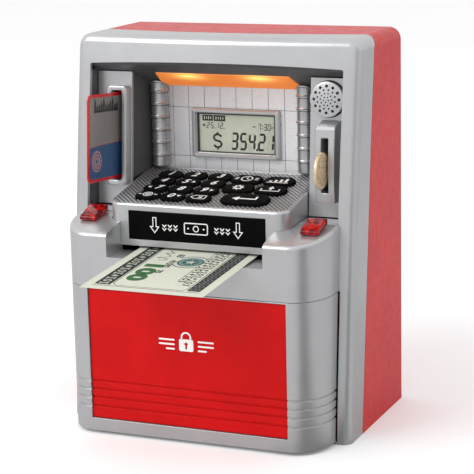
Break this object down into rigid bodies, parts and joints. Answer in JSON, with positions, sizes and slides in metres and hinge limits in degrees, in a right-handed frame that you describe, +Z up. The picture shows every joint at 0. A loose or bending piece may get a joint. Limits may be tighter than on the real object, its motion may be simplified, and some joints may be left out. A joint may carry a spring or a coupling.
{
  "type": "toy ATM savings bank",
  "caption": "Upright toy cash machine money bank with a keypad, display, card, coin and banknote slots, and a front vault door that swings open.",
  "frame": {"origin": "on the floor at the middle of the case's flat base, between the left and right sides", "axes": "+X to the right seen from the front, +Y to the rear, +Z up; the front faces -Y"},
  "size_m": [0.16, 0.1648, 0.2065],
  "materials": {
    "silver_plastic": "fine satin silver, slightly metallic paint",
    "red_plastic": "satin red plastic",
    "red_panel": "bright red panel, smooth",
    "dark_plastic": "dark grey moulding, satin",
    "black_rubber": "soft black rubber keys",
    "black_gloss": "black sign plate",
    "orange_clear": "translucent orange diffuser",
    "red_clear": "clear red lens",
    "lcd_glass": "grey-green liquid crystal display",
    "board": "printed circuit board",
    "steel": "plated steel",
    "white_plastic": "natural white moulding",
    "roller_rubber": "feed roller rubber",
    "paper": "printed play money",
    "coin_brass": "dull brass play coin",
    "copper_coil": "wound coil",
    "card_print": "printed laminated card"
  },
  "bodies": {
    "housing": {"rear_case": "red_plastic", "front_frame": "silver_plastic", "recess_hood": "dark_plastic", "card_panel": "silver_plastic", "coin_panel": "silver_plastic", "tile_wall": "silver_plastic", "lamp_lens": "orange_clear", "lamp_board": "board", "lcd_bezel": "silver_plastic", "lcd_module": "lcd_glass", "main_board": "board", "upper_body": "silver_plastic", "lens_left": "red_clear", "lens_right": "red_clear", "console_housing": "silver_plastic", "slot_sign": "black_gloss", "keypad_board": "board", "card_slot_bezel": "silver_plastic", "card_reader": "dark_plastic", "coin_slot_bezel": "silver_plastic", "coin_chute": "dark_plastic", "speaker_grille": "silver_plastic", "speaker_driver": "steel", "feed_motor": "steel", "feed_frame": "white_plastic", "lock_solenoid": "copper_coil", "lock_spring": "steel", "divider_shelf": "dark_plastic", "battery_tray": "dark_plastic", "case_screw_1": "steel", "case_screw_2": "steel", "case_screw_3": "steel", "case_screw_4": "steel"},
    "door": {"door_frame": "silver_plastic", "door_panel": "red_panel"},
    "bolt": {"lock_bolt": "steel"},
    "drive_roller": {"drive_roller": "roller_rubber"},
    "pinch_roller": {"pinch_roller": "roller_rubber"},
    "pinion": {"motor_pinion": "coin_brass"},
    "banknote": {"play_banknote": "paper"},
    "card": {"play_card": "card_print"},
    "coin": {"play_coin": "coin_brass"},
    "battery_cover": {"battery_door": "red_plastic"},
    "key_1": {"key_1": "black_rubber"},
    "key_2": {"key_2": "black_rubber"},
    "key_3": {"key_3": "black_rubber"},
    "key_4": {"key_4": "black_rubber"},
    "key_5": {"key_5": "black_rubber"},
    "key_6": {"key_6": "black_rubber"},
    "key_7": {"key_7": "black_rubber"},
    "key_8": {"key_8": "black_rubber"},
    "key_9": {"key_9": "black_rubber"},
    "key_target": {"key_target": "black_rubber"},
    "key_0": {"key_0": "black_rubber"},
    "key_clear": {"key_clear": "black_rubber"},
    "key_clock": {"key_clock": "black_rubber"},
    "key_balance": {"key_balance": "black_rubber"},
    "key_set": {"key_set": "black_rubber"},
    "key_withdraw": {"key_withdraw": "black_rubber"},
    "key_enter": {"key_enter": "black_rubber"}
  },
  "joints": [
    {"name": "door_hinge", "type": "hinge", "parent": "housing", "child": "door", "pos_m": [-0.066, -0.038, 0], "axis": [0, 0, 1], "range_deg": [-100, 0]},
    {"name": "bolt_slide", "type": "slide", "parent": "housing", "child": "bolt", "axis": [0, 0, 1], "range_m": [-0.004, 0], "deforming": ["lock_spring"]},
    {"name": "drive_roller_spin", "type": "hinge", "parent": "housing", "child": "drive_roller", "pos_m": [0, -0.026, 0.09367], "axis": [1, 0, 0], "range_deg": [-344, 172]},
    {"name": "pinch_roller_spin", "type": "hinge", "parent": "housing", "child": "pinch_roller", "pos_m": [0, -0.026, 0.10347], "axis": [1, 0, 0], "range_deg": [-215, 430]},
    {"name": "pinion_spin", "type": "hinge", "parent": "housing", "child": "pinion", "pos_m": [0, -0.01213, 0.09017], "axis": [1, 0, 0], "range_deg": [-430, 860]},
    {"name": "banknote_feed", "type": "slide", "parent": "housing", "child": "banknote", "axis": [0, 0.9976, 0.0698], "range_m": [-0.015, 0.03]},
    {"name": "card_slide", "type": "slide", "parent": "housing", "child": "card", "axis": [0, -0.9967, 0.0812], "range_m": [-0.016, 0.034]},
    {"name": "coin_slide", "type": "slide", "parent": "housing", "child": "coin", "axis": [0, -0.9967, 0.0812], "range_m": [-0.022, 0.006]},
    {"name": "battery_cover_hinge", "type": "hinge", "parent": "housing", "child": "battery_cover", "pos_m": [0, 0.0578, 0.1125], "axis": [1, 0, 0], "range_deg": [-75, 0]},
    {"name": "key_1_press", "type": "slide", "parent": "housing", "child": "key_1", "axis": [0, 0.1947, -0.9809], "range_m": [0, 0.0013]},
    {"name": "key_2_press", "type": "slide", "parent": "housing", "child": "key_2", "axis": [0, 0.1947, -0.9809], "range_m": [0, 0.0013]},
    {"name": "key_3_press", "type": "slide", "parent": "housing", "child": "key_3", "axis": [0, 0.1947, -0.9809], "range_m": [0, 0.0013]},
    {"name": "key_4_press", "type": "slide", "parent": "housing", "child": "key_4", "axis": [0, 0.1947, -0.9809], "range_m": [0, 0.0013]},
    {"name": "key_5_press", "type": "slide", "parent": "housing", "child": "key_5", "axis": [0, 0.1947, -0.9809], "range_m": [0, 0.0013]},
    {"name": "key_6_press", "type": "slide", "parent": "housing", "child": "key_6", "axis": [0, 0.1947, -0.9809], "range_m": [0, 0.0013]},
    {"name": "key_7_press", "type": "slide", "parent": "housing", "child": "key_7", "axis": [0, 0.1947, -0.9809], "range_m": [0, 0.0013]},
    {"name": "key_8_press", "type": "slide", "parent": "housing", "child": "key_8", "axis": [0, 0.1947, -0.9809], "range_m": [0, 0.0013]},
    {"name": "key_9_press", "type": "slide", "parent": "housing", "child": "key_9", "axis": [0, 0.1947, -0.9809], "range_m": [0, 0.0013]},
    {"name": "key_target_press", "type": "slide", "parent": "housing", "child": "key_target", "axis": [0, 0.1947, -0.9809], "range_m": [0, 0.0013]},
    {"name": "key_0_press", "type": "slide", "parent": "housing", "child": "key_0", "axis": [0, 0.1947, -0.9809], "range_m": [0, 0.0013]},
    {"name": "key_clear_press", "type": "slide", "parent": "housing", "child": "key_clear", "axis": [0, 0.1947, -0.9809], "range_m": [0, 0.0013]},
    {"name": "key_clock_press", "type": "slide", "parent": "housing", "child": "key_clock", "axis": [0, 0.1947, -0.9809], "range_m": [0, 0.0013]},
    {"name": "key_balance_press", "type": "slide", "parent": "housing", "child": "key_balance", "axis": [0, 0.1947, -0.9809], "range_m": [0, 0.0013]},
    {"name": "key_set_press", "type": "slide", "parent": "housing", "child": "key_set", "axis": [0, 0.1947, -0.9809], "range_m": [0, 0.0013]},
    {"name": "key_withdraw_press", "type": "slide", "parent": "housing", "child": "key_withdraw", "axis": [0, 0.1947, -0.9809], "range_m": [0, 0.0013]},
    {"name": "key_enter_press", "type": "slide", "parent": "housing", "child": "key_enter", "axis": [0, 0.1947, -0.9809], "range_m": [0, 0.0013]}
  ],
  "couplings": [
    {"joint": "drive_roller_spin", "follows": "banknote_feed", "rad_per_m": -200},
    {"joint": "pinch_roller_spin", "follows": "banknote_feed", "rad_per_m": 250},
    {"joint": "pinion_spin", "follows": "banknote_feed", "rad_per_m": 500}
  ]
}
